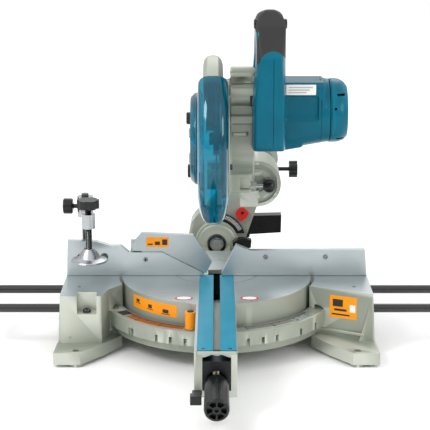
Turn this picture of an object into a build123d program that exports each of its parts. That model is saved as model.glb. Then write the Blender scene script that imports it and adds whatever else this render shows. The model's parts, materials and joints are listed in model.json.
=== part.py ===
"""Compact sliding compound mitre saw with a 190 mm blade.

Millimetres. X to the right, Y to the back, Z up. The origin lies on the bench under the turntable's axis.
The head stands raised, the mitre and bevel angles are zero, and the slide is 30 mm from its back stop.
"""
from build123d import *
import math
import os

# Driving dimensions
TABLE_Z = 85.0            # top of the table and of the base's side blocks
TABLE_R = 130.0           # turntable radius at its top
RING_R = 157.0            # outer radius of the base's ring
RING_TOP = 55.5           # top of the ring's front half, which carries the mitre scale
HALF_WIDTH = 207.5        # from the centre to the outer side of a side block
ARM_FRONT = -312.0        # front end of the table's front arm
AXIS_Y = -62.0            # blade axis
AXIS_Z = 290.0
BLADE_R = 95.0
PIVOT_Y = 66.0            # hinge that the head chops about
PIVOT_Z = 207.0
MOTOR_Y = -54.0           # motor axis
MOTOR_Z = 323.0
POLE_X = (42.0, 72.0)     # the two slide poles
POLE_Z = 207.5
POLE_R = 10.0
POLE_MID_X = 57.0
ROD_Y = (-52.0, 35.0)     # legs of each support holder
ROD_Z = 55.0
ROD_R = 6.0
BRACKET_Y = 172.0         # front face of the turntable's rear bracket
BRACKET_R = 31.5
ARM_Y = 195.0             # front face of the tilting arm
BLOCK_Y = (207.0, 257.0)  # the arm's block that the poles slide in
POLE_END_Y = 370.0        # rear ends of the poles
GAP = 0.4                 # clearance between pieces on different bodies
FIT = 0.05                # radial clearance of a running fit

KERF_SCREW_Y = ARM_FRONT + 11
BEVEL_STOP = (34, 88)     # pivot of the bevel stop lever, in x and z
FOOT_X = 184.5            # bolt holes for the bench
FOOT_Y = 125.0
PAD_X = 201.0             # rubber pads
PAD_Y = 108.0
GRIP_PLACE = (0, ARM_FRONT - 2, 48)   # where the lock spindle leaves the front arm
GRIP_TILT = 7.0           # how far the grip points below the horizontal
MOTOR_X = 48.6            # left face of the motor housing
MOTOR_R = 45.0
FENCE_SCREWS = [(x, 26) for x in (-166, -148, 148, 190)]
VISE_CLAMP_Z = 178.0
FENCE_SHELF = 7.0         # thickness of the fences' feet
FLIP_PIVOT = (-111.5, 127)
VISE_POST = (-182, 26)
VISE_SPINDLE = (-171.5, -45)
STOPPER_Y = 27.0          # pin that locks the head down
STOPPER_Z = 206.0
CLAMP_Y = 214.0           # thumb screw that locks the slide
CLAMP_Z = 190.0
TRIGGER_Y = (-92.5, -60)
BUTTON_Y = -104.0
BUTTON_Z = 444.0
NOTCH_ANGLES = (-47, -45, -30, -22.5, -15, 0, 15, 22.5, 30, 45, 57)


def block(x0, x1, y0, y1, z0, z1):
    """A box between two corners."""
    return Pos((x0 + x1) / 2, (y0 + y1) / 2, (z0 + z1) / 2) * Box(x1 - x0, y1 - y0, z1 - z0)


def disc_x(y, z, radius, x0, x1):
    """A cylinder along X."""
    return Pos((x0 + x1) / 2, y, z) * Rot(0, 90, 0) * Cylinder(radius, x1 - x0)


def disc_y(x, z, radius, y0, y1):
    """A cylinder along Y."""
    return Pos(x, (y0 + y1) / 2, z) * Rot(90, 0, 0) * Cylinder(radius, y1 - y0)


def disc_z(x, y, radius, z0, z1):
    """A cylinder along Z."""
    return Pos(x, y, (z0 + z1) / 2) * Cylinder(radius, z1 - z0)


def prism_x(outline, x0, x1):
    """An outline of (y, z) points, extruded along X."""
    plane = Plane(origin=(x0, 0, 0), x_dir=(0, 1, 0), z_dir=(1, 0, 0))
    return extrude(plane * make_face(Polyline(*outline, close=True)), amount=x1 - x0)


def prism_y(outline, y0, y1):
    """An outline of (x, z) points, extruded along Y."""
    plane = Plane(origin=(0, y1, 0), x_dir=(1, 0, 0), z_dir=(0, -1, 0))
    return extrude(plane * make_face(Polyline(*outline, close=True)), amount=y1 - y0)


def prism_z(outline, z0, z1):
    """An outline of (x, y) points, extruded along Z."""
    return extrude(Pos(0, 0, z0) * make_face(Polyline(*outline, close=True)), amount=z1 - z0)


def link_x(a, radius_a, b, radius_b, x0, x1):
    """A bar with round ends between two (y, z) points, its thickness along X."""
    length = math.hypot(b[0] - a[0], b[1] - a[1])
    along = ((b[0] - a[0]) / length, (b[1] - a[1]) / length)
    side = (-along[1], along[0])
    lean = (radius_a - radius_b) / length
    across = math.sqrt(1 - lean**2)
    normals = [
        (along[0] * lean + side[0] * across * s, along[1] * lean + side[1] * across * s)
        for s in (1, -1)
    ]
    corners = [
        (a[0] + normals[0][0] * radius_a, a[1] + normals[0][1] * radius_a),
        (b[0] + normals[0][0] * radius_b, b[1] + normals[0][1] * radius_b),
        (b[0] + normals[1][0] * radius_b, b[1] + normals[1][1] * radius_b),
        (a[0] + normals[1][0] * radius_a, a[1] + normals[1][1] * radius_a),
    ]
    return (
        prism_x(corners, x0, x1)
        + disc_x(a[0], a[1], radius_a, x0, x1)
        + disc_x(b[0], b[1], radius_b, x0, x1)
    )


def polar(radius, degrees):
    """A point at this radius and angle, as two numbers."""
    return (radius * math.cos(math.radians(degrees)), radius * math.sin(math.radians(degrees)))


def wedge_x(radius, start, end, x0, x1):
    """A sector about the blade axis, from start to end in degrees from +Y towards +Z."""
    steps = max(2, math.ceil((end - start) / 45))
    rim = [polar(radius * 1.3, start + (end - start) * i / steps) for i in range(steps + 1)]
    outline = [(AXIS_Y, AXIS_Z)] + [(AXIS_Y + y, AXIS_Z + z) for y, z in rim]
    return prism_x(outline, x0, x1) & disc_x(AXIS_Y, AXIS_Z, radius, x0, x1)


def group(shapes):
    """Several separate solids in one shape."""
    return Compound(children=[s for shape in shapes for s in shape.solids()])


# ---------------------------------------------------------------- base

BLOCK_BACK = 45.0
CUTOUT_R = 134.5
RING_BOTTOM = 36.0
SKIRT_R = 148.0           # recessed skirt under the ring
SKIRT_BOTTOM = 24.0
PLATE_Z = 31.0            # underside of the plate that carries the turntable


def side_block(side):
    """One side block: the left one (side -1) has a stepped front, the right one a slanted front."""
    if side < 0:
        outline = [
            (-HALF_WIDTH, -95), (-152.5, -95), (-145, -65), (-127, -39),
            (-120, 20), (-134, 33), (-150, BLOCK_BACK), (-HALF_WIDTH, BLOCK_BACK),
        ]
    else:
        outline = [
            (HALF_WIDTH, -87), (124, -49), (118, -20), (120, 20), (134, 33),
            (150, BLOCK_BACK), (HALF_WIDTH, BLOCK_BACK),
        ]
    draft = [(190 * side, 18), (HALF_WIDTH * side, TABLE_Z), ((HALF_WIDTH + 4) * side, 18)]
    return prism_z(outline, 18, TABLE_Z) + prism_y(draft, -86, BLOCK_BACK - 1)


def block_hollow(side):
    """The space inside a side block, open below."""
    x_in, x_out = 162 * side, (HALF_WIDTH - 8) * side
    if side < 0:
        outline = [(x_in, -68), (x_out, -68), (x_out, 37), (x_in, 37)]
    else:
        outline = [(x_in, -58), (x_out, -75), (x_out, 37), (x_in, 37)]
    return prism_z(outline, -1, TABLE_Z - 9)


def foot(side, end):
    """A bolting flange with its boss; side is -1 or 1 in X, end is -1 (front) or 1 (back)."""
    top = 20.0
    outline = [
        (212 * side, 92 * end), (213 * side, 136 * end), (178 * side, 136 * end), (150 * side, 100 * end),
        (128 * side, 62 * end), (165 * side, 40 * end),
    ]
    flange = prism_z(outline, 4, top)
    boss = disc_z(FOOT_X * side, FOOT_Y * end, 10, 0, top)
    return flange + boss


def rear_leg(side):
    """A low beam from the ring to a rear foot, under the sweep of the rear arm."""
    outline = [(100 * side, 110), (134 * side, 30), (200 * side, 42), (205 * side, 100), (178 * side, 130)]
    return prism_z(outline, 8, 34)


def base_casting():
    """Cast base: ring with mitre notches, side blocks, feet, holder bores and the vise hole."""
    front_half = block(-160, 160, -160, -18, 0, 100)
    body = disc_z(0, 0, RING_R, RING_BOTTOM, RING_TOP) & front_half
    body += disc_z(0, 0, SKIRT_R, SKIRT_BOTTOM, RING_BOTTOM + 0.5)
    for side in (-1, 1):
        body += side_block(side) + rear_leg(side)
        for end in (-1, 1):
            body += foot(side, end)
    body -= disc_z(0, 0, CUTOUT_R, RING_BOTTOM, 100)
    body -= disc_z(0, 0, SKIRT_R - 6, -1, PLATE_Z) - disc_z(0, 0, 26, 12, PLATE_Z)
    body += disc_z(0, 0, 26, 12, PLATE_Z + 1)
    body -= disc_z(0, 0, 6, 0, 100)
    for angle in NOTCH_ANGLES:
        notch = Rot(0, 0, angle) * block(-2.2, 2.2, -RING_R - 1, -RING_R + 6, RING_BOTTOM, RING_BOTTOM + 9.5)
        body -= notch
    for side in (-1, 1):
        body -= block_hollow(side)
        for y in ROD_Y:
            ends = sorted((132 * side, 218 * side))
            body -= disc_x(y, ROD_Z, ROD_R + FIT, *ends)
            body -= disc_z(185 * side, y, 2.5, ROD_Z, TABLE_Z + 1)
        for end in (-1, 1):
            body -= disc_z(FOOT_X * side, FOOT_Y * end, 4.5, -1, 30)
            body -= disc_z(PAD_X * side, PAD_Y * end, 7, -1, 7)
    body -= block(-185, -159, -96, -76, 60, 90)
    body -= disc_z(*VISE_POST, 5, 60, 90)
    for x, y in FENCE_SCREWS:
        body -= disc_z(x, y, 2.6, 72, 90)
    return body


def rubber_feet():
    """Four rubber pads plugged into the flanges."""
    pads = []
    for side in (-1, 1):
        for end in (-1, 1):
            x, y = PAD_X * side, PAD_Y * end
            pads.append(disc_z(x, y, 11, 0, 4) + disc_z(x, y, 7, 3, 7))
    return group(pads)


def fence_left():
    """Left fence with a sloped end under the flip fence and a foot behind."""
    outline = [
        (-207, TABLE_Z + GAP), (-205, 134.7), (-166, 134), (-146, 127.7), (-131.5, 127.7), (-121, 118.5),
        (-75, 118.5), (-17, 88), (-17, TABLE_Z + GAP),
    ]
    plate = prism_y(outline, 0, 10)
    shelf = block(-200, -137, 9, 34, TABLE_Z, TABLE_Z + FENCE_SHELF) - disc_z(*VISE_POST, 7, 80, 95)
    lug = block(-119, -104, 9.5, 15, 108, 134)
    body = plate + shelf + lug
    for x, y in FENCE_SCREWS:
        body -= disc_z(x, y, 3.2, 80, 95)
    return body - disc_y(*FLIP_PIVOT, 4.5, -1, 20)


def fence_right():
    """Right fence with its slanted inner end."""
    outline = [
        (207, TABLE_Z + GAP), (204, 121.9), (46, 121.2), (26.6, 129), (6.6, 88), (6.6, TABLE_Z + GAP),
    ]
    body = prism_y(outline, 0, 10) + block(137, 200, 9, 34, TABLE_Z, TABLE_Z + FENCE_SHELF)
    for x, y in FENCE_SCREWS:
        body -= disc_z(x, y, 3.2, 80, 95)
    return body


def fence_bolts():
    """Four M5 bolts that hold the fences down."""
    bolts = []
    head_z = TABLE_Z + FENCE_SHELF
    for x, y in FENCE_SCREWS:
        bolts.append(disc_z(x, y, 5, head_z, head_z + 5) + disc_z(x, y, 2.55, 73, head_z + 1))
    return group(bolts)


def rod_clamp_screws():
    """Four grub screws that clamp the holder rods."""
    screws = []
    for side in (-1, 1):
        for y in ROD_Y:
            screws.append(disc_z(185 * side, y, 2.45, ROD_Z + ROD_R + 0.6, TABLE_Z - 1))
    return group(screws)


def pivot_bolt():
    """Bolt that the turntable turns on."""
    return disc_z(0, 0, 5.95, 9, 70) + disc_z(0, 0, 12, 4, 11.9) + disc_z(0, 0, 10, 66.4, 70.4)


# ---------------------------------------------------------------- support holders

def holder(side):
    """A U-bent steel rod whose two legs slide in the base."""
    end, tip, bend = 322 * side, 148 * side, 18
    path = FilletPolyline(
        (tip, ROD_Y[0], ROD_Z), (end, ROD_Y[0], ROD_Z), (end, ROD_Y[1], ROD_Z), (tip, ROD_Y[1], ROD_Z),
        radius=bend,
    )
    section = Plane(origin=(tip, ROD_Y[0], ROD_Z), z_dir=(side, 0, 0)) * Circle(ROD_R)
    return sweep(section, path=path)


# ---------------------------------------------------------------- turntable

def front_arm():
    """Hollow front arm that carries the kerf boards and the lock."""
    outer = [
        (-150, 57), (-163, 57), (-175, 28), (ARM_FRONT, 28), (ARM_FRONT, TABLE_Z), (-120, TABLE_Z), (-120, 57),
    ]
    inner = [(-60, 62), (-168, 62), (-182, 36), (ARM_FRONT - 1, 36), (ARM_FRONT - 1, 90), (-60, 90)]
    return prism_x(outer, -26.7, 24.3), prism_x(inner, -17, 17)


def turntable_casting():
    """Turntable with its wall, hub, front arm and the rear bracket that the saw's arm tilts on."""
    disc = disc_z(0, 0, TABLE_R, 77, TABLE_Z) + disc_z(0, 0, TABLE_R, 40, 80)
    disc -= disc_z(0, 0, TABLE_R - 7, 30, 77)
    disc += disc_z(0, 0, 22, 37, 80)
    arm, trough = front_arm()
    neck = block(-30, 30, 95, BRACKET_Y + 22.5, 46, 76)
    bracket = disc_y(0, TABLE_Z, BRACKET_R, BRACKET_Y, BRACKET_Y + 22.5)
    ramp = prism_x([(120, 60), (BRACKET_Y + 1, 60), (BRACKET_Y + 1, 82), (150, 76), (120, 76)], -20, 20)
    body = disc + arm + neck + bracket + ramp
    body -= trough
    body -= block(-17, 17, -130, 20, 62, 79)
    body -= block(-23.4, 23.4, ARM_FRONT - 1, 6, 80.8, 90)
    body -= block(-12, 12, -150, 30, 72, 90)
    body += block(-17.5, 17.5, ARM_FRONT + 44, -70, 68, 72)
    body -= disc_y(0, TABLE_Z, 14, BRACKET_Y - 16, BRACKET_Y + 1)
    body += disc_z(0, 0, 22, 37, 66)
    body -= disc_z(0, 0, 6, 30, 90)
    body -= disc_z(0, 0, 11, 68, 90)
    body -= disc_y(0, TABLE_Z, 8 + FIT, 150, 200)
    body -= disc_y(*BEVEL_STOP, 3 + FIT, BRACKET_Y - 8, BRACKET_Y + 9)
    return body


def kerf_board(side):
    """One plastic kerf board beside the blade slot."""
    board = block(4.4, 23.2, ARM_FRONT + 5, 5.4, 81, TABLE_Z - 0.2)
    board -= disc_z(16, KERF_SCREW_Y, 2.6, 75, 90)
    if side < 0:
        board = board.mirror(Plane.YZ)
    return board


def kerf_screws():
    """Screws that hold the kerf boards."""
    screws = []
    for side in (-1, 1):
        screws.append(disc_z(16 * side, KERF_SCREW_Y, 2.5, 80.9, TABLE_Z - 0.6))
    return group(screws)


def lock_box():
    """Black insert in the arm's mouth, with the bore of the lock spindle."""
    body = block(-16.6, 16.6, ARM_FRONT + 2, ARM_FRONT + 42, 36.2, 72)
    bore = disc_y(0, 0, 6 + FIT, -20, 80) + disc_y(0, 0, 11.5, -20, 14.6)
    return body - Pos(*GRIP_PLACE) * Rot(GRIP_TILT, 0, 0) * bore


def mitre_pointer():
    """Orange pointer drum beside the front arm."""
    return disc_z(-34, -142, 7, RING_TOP + 1, 79) + block(-40, -26.7, -139, -134, 62, 74)


def bevel_scale():
    """Arc-shaped scale plate on top of the rear bracket."""
    y0, y1 = ARM_Y - 10, ARM_Y - 6
    arc = disc_y(0, TABLE_Z, 43.5, y0, y1) - disc_y(0, TABLE_Z, BRACKET_R, y0 - 1, y1 + 1)
    return arc & block(9, 60, y0 - 1, y1 + 1, TABLE_Z + 12, 160)


def bevel_shaft():
    """Shaft and nut that the arm tilts on."""
    shaft = disc_y(0, TABLE_Z, 8, BRACKET_Y - 9, ARM_Y + 55)
    washer = disc_y(0, TABLE_Z, 13, BRACKET_Y - 4, BRACKET_Y)
    nut_place = Pos(0, BRACKET_Y - 8, TABLE_Z) * Rot(90, 0, 0)
    nut = nut_place * extrude(RegularPolygon(9.5, 6), amount=4, both=True)
    return shaft + washer + nut


# ---------------------------------------------------------------- mitre lock

def mitre_grip():
    """Ribbed handle on the lock spindle, tilted down a little."""
    body = disc_y(0, 0, 15.8, -66, -5) + disc_y(0, 0, 11, -6, 14)
    for i in range(12):
        y, z = polar(16.6, i * 30)
        body -= disc_y(y, z, 2.6, -52, -12)
    spindle = disc_y(0, 0, 6, 14, 60)
    place = Pos(*GRIP_PLACE) * Rot(GRIP_TILT, 0, 0)
    return place * body, place * spindle


def mitre_stop_lever():
    """Thumb lever that lifts the stop pawl out of the ring's notches."""
    lever = block(-29, -17.5, -336, ARM_FRONT - 1.5, 33, 38)
    pad = block(-31, -17.5, -346, -334, 31, 42)
    return lever + pad


# ---------------------------------------------------------------- tilting arm

def arm_casting():
    """Arm that tilts behind the bracket and carries the slide poles' block."""
    outline = [
        (-38, 70), (-42, 95), (-38, 111), (-31, 121), (-22, 129), (-6, 139), (10, 157), (61, 161), (67, 154),
        (62, 141), (42.6, 83), (38, 66), (20, 52), (-20, 52),
    ]
    back = ARM_Y + 40
    y0, y1 = BLOCK_Y
    web = prism_y(outline, ARM_Y, back) + disc_y(0, TABLE_Z, 40, ARM_Y, back)
    web -= prism_y([(-26, 100), (-18, 118), (14, 145), (46, 145), (40, 112), (24, 104)], ARM_Y + 9, back + 1)
    holder_block = disc_y(POLE_X[0] - 2, POLE_Z, 31, y0, y1) + disc_y(POLE_X[1] - 11, POLE_Z, 31, y0, y1)
    holder_block += block(24, 76, y0, y1, 150, POLE_Z)
    body = web + holder_block
    for x in POLE_X:
        body -= disc_y(x, POLE_Z, POLE_R + 2.5, y0 - 12, y1 + 20)
    body -= disc_y(0, TABLE_Z, 8 + FIT, ARM_Y - 10, back + 10)
    body -= disc_x(CLAMP_Y, CLAMP_Z, 3 + FIT, 80, 100)
    return body


def pole_bushes():
    """Four bushes that the slide poles run in."""
    bushes = []
    for x in POLE_X:
        for y0 in (BLOCK_Y[0], BLOCK_Y[1] - 16):
            bushes.append(
                disc_y(x, POLE_Z, POLE_R + 2.5, y0, y0 + 16)
                - disc_y(x, POLE_Z, POLE_R + FIT, y0 - 1, y0 + 17)
            )
    return group(bushes)


def bevel_pointer():
    """Red pointer block on the arm, with its screw hole."""
    outline = [(27.6, 126.3), (35.1, 113.1), (45.7, 119.3), (48.3, 127.1), (41.1, 135.3), (33.6, 133.9)]
    return prism_y(outline, ARM_Y - 5, ARM_Y - 0.1) - disc_y(38.5, 127, 2.6, ARM_Y - 6, ARM_Y)


def bevel_lock_lever():
    """Black lever behind the arm that clamps the bevel."""
    y0 = ARM_Y + 40.5
    outline = [(4, 60), (51, 78), (51, 82), (99, 85), (99.5, 112.5), (51, 111.5), (45, 95), (2, 97)]
    body = prism_y(outline, y0, y0 + 8) + disc_y(0, TABLE_Z, 15, y0, y0 + 8)
    body += prism_y([(49, 80), (99, 84), (99.5, 112.5), (49, 111.5)], y0 + 7, y0 + 19)
    return body - disc_y(0, TABLE_Z, 8 + FIT, y0 - 10, y0 + 25)


def bevel_stop_lever():
    """Small black lever in front of the bracket that frees the bevel past its stop."""
    outline = [(24, 84), (34, 79), (51, 81), (52, 92.5), (44, 95.5), (33, 95), (24, 90)]
    y1 = BRACKET_Y - GAP
    return prism_y(outline, y1 - 12.6, y1) + disc_y(*BEVEL_STOP, 3, y1 - 1, y1 + 7)


def slide_lock_screw():
    """Thumb screw on the block's right side that holds the slide."""
    shaft = disc_x(CLAMP_Y, CLAMP_Z, 3, POLE_X[1] + POLE_R + 3, 109)
    knob = disc_x(CLAMP_Y, CLAMP_Z, 12.5, 109, 121.5)
    for i in range(6):
        y, z = polar(14.5, i * 60)
        knob -= disc_x(CLAMP_Y + y, CLAMP_Z + z, 4, 108, 122)
    return shaft + knob


# ---------------------------------------------------------------- sliding carriage

def carriage_casting():
    """Carriage on the front ends of the poles, with the two ears of the chop hinge."""
    body = disc_y(POLE_MID_X, POLE_Z, 32, 34, 110)
    body -= disc_y(POLE_MID_X, POLE_Z, 27, 33, 38)
    body += disc_y(POLE_MID_X, POLE_Z, 21, 37, 60)
    body -= disc_y(POLE_MID_X, POLE_Z, 12, 33, 40)
    web = block(-17, 60, 88, 104, 186, 226)
    ears = link_x((PIVOT_Y, PIVOT_Z), 15, (94, PIVOT_Z), 15, -17, -8.4)
    ears += link_x((PIVOT_Y, PIVOT_Z), 15, (94, PIVOT_Z), 15, 24.4, 34)
    lug = block(36.7, 52, 26, 36, 196, 244) + disc_x(STOPPER_Y, STOPPER_Z, 6.5, 36.7, 54.5)
    foot_block = block(32.7, 58, 34, 60, 175, 198)
    body += web + ears + lug + foot_block
    for x in POLE_X:
        body -= disc_y(x, POLE_Z, POLE_R, 48, 120)
    body -= disc_x(PIVOT_Y, PIVOT_Z, 6, -20, 38)
    body -= disc_x(STOPPER_Y, STOPPER_Z, 3 + FIT, 30, 60)
    return body


def slide_pole(x):
    """One steel slide pole."""
    return disc_y(x, POLE_Z, POLE_R, 48, POLE_END_Y)


def pole_end_plate():
    """Plate that ties the rear ends of the poles."""
    y1 = POLE_END_Y + 6
    ends = [disc_y(x, POLE_Z, 14, POLE_END_Y, y1) for x in POLE_X]
    return ends[0] + ends[1] + block(*POLE_X, POLE_END_Y, y1, POLE_Z - 14, POLE_Z + 14)


def hinge_pin():
    """Pin of the chop hinge."""
    return disc_x(PIVOT_Y, PIVOT_Z, 6, -17, 31)


def stopper_pin():
    """Pin that locks the head down."""
    return disc_x(STOPPER_Y, STOPPER_Z, 3, 33, 66)


def stopper_ball():
    """Black ball knob on the stopper pin."""
    return Pos(72.6, STOPPER_Y, STOPPER_Z) * Sphere(9.2) - disc_x(STOPPER_Y, STOPPER_Z, 3, 30, 66)


# ---------------------------------------------------------------- head

def gear_housing():
    """Gear housing to the right of the blade, with the arm that reaches back to the hinge."""
    body = disc_x(AXIS_Y, AXIS_Z, 48, 16.5, 48.2)
    body += disc_x(AXIS_Y, AXIS_Z, 78, 9.2, 16.6)
    body += link_x((AXIS_Y, AXIS_Z), 40, (MOTOR_Y - 6, 346), 38, 18, 48.2)
    body += link_x((AXIS_Y + 26, AXIS_Z - 18), 26, (PIVOT_Y, PIVOT_Z), 14, 16.5, 24)
    body += disc_x(PIVOT_Y, PIVOT_Z, 14, -8, 24)
    hollow = disc_x(AXIS_Y, AXIS_Z, 32, 22, 49) + disc_x(MOTOR_Y, MOTOR_Z, 16, 22, 49)
    body -= hollow
    body -= disc_x(AXIS_Y, AXIS_Z, 8.5, 5, 30)
    body -= disc_x(PIVOT_Y, PIVOT_Z, 6 + FIT, -20, 40)
    return body


def blade_case():
    """Fixed upper blade case, open below and in front."""
    outer = wedge_x(108.5, -5, 128, -19, 9.2)
    inner = disc_x(AXIS_Y, AXIS_Z, 104.5, -16.5, 6)
    bore = disc_x(AXIS_Y, AXIS_Z, 66, -20, 7)
    return outer - inner - bore - disc_x(AXIS_Y, AXIS_Z, 60, 5, 10)


def motor_housing():
    """Motor housing shell between the handle and the end cap."""
    body = disc_x(MOTOR_Y, MOTOR_Z, MOTOR_R, MOTOR_X, 146) + block(MOTOR_X, 140, -99, -40, MOTOR_Z - 6, 369)
    body += link_x((MOTOR_Y, MOTOR_Z - 6), 41, (MOTOR_Y + 20, MOTOR_Z - 20), 35, MOTOR_X, 90)
    body -= disc_x(MOTOR_Y, MOTOR_Z, 40, 56, 147)
    body -= disc_x(MOTOR_Y, MOTOR_Z, 11, 48, 60)
    body += disc_y(110, MOTOR_Z - 14, 10, -16, 4) - disc_y(110, MOTOR_Z - 14, 4, -20, 6)
    return body - disc_x(MOTOR_Y, MOTOR_Z, 40, 56, 147)


def motor_end_cap():
    """Domed end cap with the bearing seat."""
    body = disc_x(MOTOR_Y, MOTOR_Z, MOTOR_R, 146, 166)
    body = fillet(body.edges().filter_by(GeomType.CIRCLE).group_by(Axis.X)[-1], 16)
    body -= disc_x(MOTOR_Y, MOTOR_Z, 40, 145, 154)
    body -= disc_x(MOTOR_Y, MOTOR_Z, 7, 150, 162)
    for offset in (-24, 0, 24):
        body -= block(150, 160, MOTOR_Y - 40, MOTOR_Y - 8, MOTOR_Z + offset - 2, MOTOR_Z + offset + 2)
    return body


def handle_outline(inset):
    """The D handle's ring in side view, as a solid from x = 0 to 1; inset shrinks its thickness."""
    outer = [
        (-144, 288), (-144, 404), (-126, 441), (-96, 462), (-66, 455), (-26, 398), (-14, 360), (-14, 300),
        (-60, 282),
    ]
    inner = [
        (-112, 345), (-112, 400), (-100, 420), (-88, 427), (-74, 424), (-50, 392), (-48, 372), (-80, 345),
    ]
    ring = make_face(Polyline(*outer, close=True))
    hole = make_face(Polyline(*inner, close=True))
    ring = fillet(ring.vertices(), 10)
    hole = fillet(hole.vertices(), 5)
    if inset:
        ring = offset(ring, amount=-inset)
        hole = offset(hole, amount=inset)
    return ring - hole


def handle_body(x0, x1, inset=0.0):
    """The handle's ring between two x values."""
    plane = Plane(origin=(x0, 0, 0), x_dir=(0, 1, 0), z_dir=(1, 0, 0))
    return extrude(plane * handle_outline(inset), amount=x1 - x0)


def grip_zone():
    """The stretch of the handle that the rubber sleeve covers."""
    outline = [(-150, 396), (-136, 420), (-112, 402), (-60, 402), (-20, 430), (-40, 475), (-150, 475)]
    return prism_x(outline, 40, 95)


def handle_half(x0, x1):
    """One moulded half of the handle; under the rubber it is thinner."""
    low = handle_body(x0, x1) - grip_zone()
    core_x0, core_x1 = max(x0, 52.5), min(x1, 82)
    core = handle_body(core_x0, core_x1, 4) & grip_zone()
    body = low + core
    body -= disc_x(MOTOR_Y, MOTOR_Z, MOTOR_R + 0.2, 40, 100)
    body -= block(40, 100, -101, -40, MOTOR_Z - 6, 370)
    body -= link_x((MOTOR_Y, MOTOR_Z - 6), 41.2, (MOTOR_Y + 20, MOTOR_Z - 20), 35.2, 40, 91)
    body -= block(60, 77, -94, -58, 408, 436)
    body -= disc_x(BUTTON_Y, BUTTON_Z, 4 + FIT, 40, 95)
    return body


def grip_sleeve():
    """Rubber sleeve over the top of the handle."""
    body = (handle_body(48.5, 86) & grip_zone()) - handle_body(52.5, 82, 4)
    body -= block(60, 77, -94, -58, 400, 436)
    body -= disc_x(BUTTON_Y, BUTTON_Z, 5.5, 40, 95)
    return body


def motor_stator():
    """Field coil can, pressed into the housing."""
    return disc_x(MOTOR_Y, MOTOR_Z, 40, 62, 132) - disc_x(MOTOR_Y, MOTOR_Z, 25, 60, 133)


def ball_bearings():
    """Bearings of the arbor and the armature."""
    rings = [
        disc_x(AXIS_Y, AXIS_Z, 16, 22.2, 29) - disc_x(AXIS_Y, AXIS_Z, 8 + FIT, 20, 31),
        disc_x(MOTOR_Y, MOTOR_Z, 11, 51, 57.5) - disc_x(MOTOR_Y, MOTOR_Z, 5 + FIT, 50, 60),
        disc_x(MOTOR_Y, MOTOR_Z, 7, 154.5, 161) - disc_x(MOTOR_Y, MOTOR_Z, 4 + FIT, 150, 165),
    ]
    return group(rings)


def housing_screws():
    """Screws that hold the blade case to the gear housing."""
    return group([disc_x(AXIS_Y + y, AXIS_Z + z, 3.5, 16.7, 20) for y, z in (polar(70, 35), polar(70, 200))])


# ---------------------------------------------------------------- turning parts

def armature():
    """Motor armature with its fan and pinion."""
    body = disc_x(MOTOR_Y, MOTOR_Z, 5, 30, 150) + disc_x(MOTOR_Y, MOTOR_Z, 24, 72, 122)
    body += disc_x(MOTOR_Y, MOTOR_Z, 4, 149, 160) + disc_x(MOTOR_Y, MOTOR_Z, 36, 136, 139)
    for i in range(9):
        blade = Pos(139, MOTOR_Y, MOTOR_Z) * Rot(i * 40, 0, 0) * block(-0.5, 6, 12, 36, -0.8, 0.8)
        body += blade
    return body


def arbor_shaft():
    """Output shaft that carries the blade."""
    return disc_x(AXIS_Y, AXIS_Z, 8, 4.2, 48) + disc_x(AXIS_Y, AXIS_Z, 10, -1.6, 4.3)


def drive_gear():
    """Large gear on the output shaft."""
    gear = disc_x(AXIS_Y, AXIS_Z, 27.5, 33, 41) - disc_x(AXIS_Y, AXIS_Z, 8, 30, 45)
    for i in range(24):
        y, z = polar(27.5, i * 15)
        gear -= disc_x(AXIS_Y + y, AXIS_Z + z, 1.6, 32, 42)
    return gear


def saw_blade():
    """190 mm blade with 24 gullets and a 20 mm bore."""
    blade = disc_x(AXIS_Y, AXIS_Z, BLADE_R, -0.9, 0.9) - disc_x(AXIS_Y, AXIS_Z, 10, -2, 2)
    for i in range(24):
        y, z = polar(BLADE_R - 2, i * 15)
        blade -= disc_x(AXIS_Y + y, AXIS_Z + z, 4.5, -2, 2)
    return blade


def blade_flanges():
    """Inner and outer clamping flanges."""
    inner = disc_x(AXIS_Y, AXIS_Z, 22, 0.9, 4.2) - disc_x(AXIS_Y, AXIS_Z, 10, 0, 5)
    outer = disc_x(AXIS_Y, AXIS_Z, 22, -4.4, -0.9) - disc_x(AXIS_Y, AXIS_Z, 10, -2.6, 0)
    return group([inner, outer - disc_x(AXIS_Y, AXIS_Z, 4, -6, 0)])


def arbor_bolt():
    """Hex bolt that holds the blade."""
    head = Plane(origin=(-10.4, AXIS_Y, AXIS_Z), x_dir=(0, 1, 0), z_dir=(1, 0, 0)) * RegularPolygon(8.5, 6)
    return extrude(head, amount=6) + disc_x(AXIS_Y, AXIS_Z, 4, -5, -1.6)


# ---------------------------------------------------------------- lower guard

GUARD_START = 125
GUARD_END = 286


def lower_guard():
    """Transparent lower guard: two side walls and a rim, outside the blade case."""
    walls = wedge_x(112, GUARD_START, GUARD_END, -24, 15) - disc_x(AXIS_Y, AXIS_Z, 109.3, -21.8, 12.8)
    walls += (disc_x(AXIS_Y, AXIS_Z, 66, -24, -21.8) + disc_x(AXIS_Y, AXIS_Z, 84, 12.8, 15))
    walls -= disc_x(AXIS_Y, AXIS_Z, 78.4, 5, 16)
    walls -= disc_x(AXIS_Y, AXIS_Z, 30, -25, -20)
    return walls


def centre_cover():
    """Round cover on the guard's left side, over the arbor bolt."""
    cover = disc_x(AXIS_Y, AXIS_Z, 60, -34, -24)
    cover = chamfer(cover.edges().filter_by(GeomType.CIRCLE).group_by(Axis.X)[0], 6)
    return cover - disc_x(AXIS_Y, AXIS_Z, 55, -31.5, -23)


# ---------------------------------------------------------------- controls on the handle

def trigger():
    """Switch trigger inside the D handle."""
    front, back = TRIGGER_Y
    outline = [(front, 412), (front, 428), (back, 428), (back, 420)]
    return prism_x(outline, 60.4, 76.6)


def lock_off_button():
    """Button that passes through the grip and frees the trigger."""
    return disc_x(BUTTON_Y, BUTTON_Z, 4, 46.5, 88)


# ---------------------------------------------------------------- work holding

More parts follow.
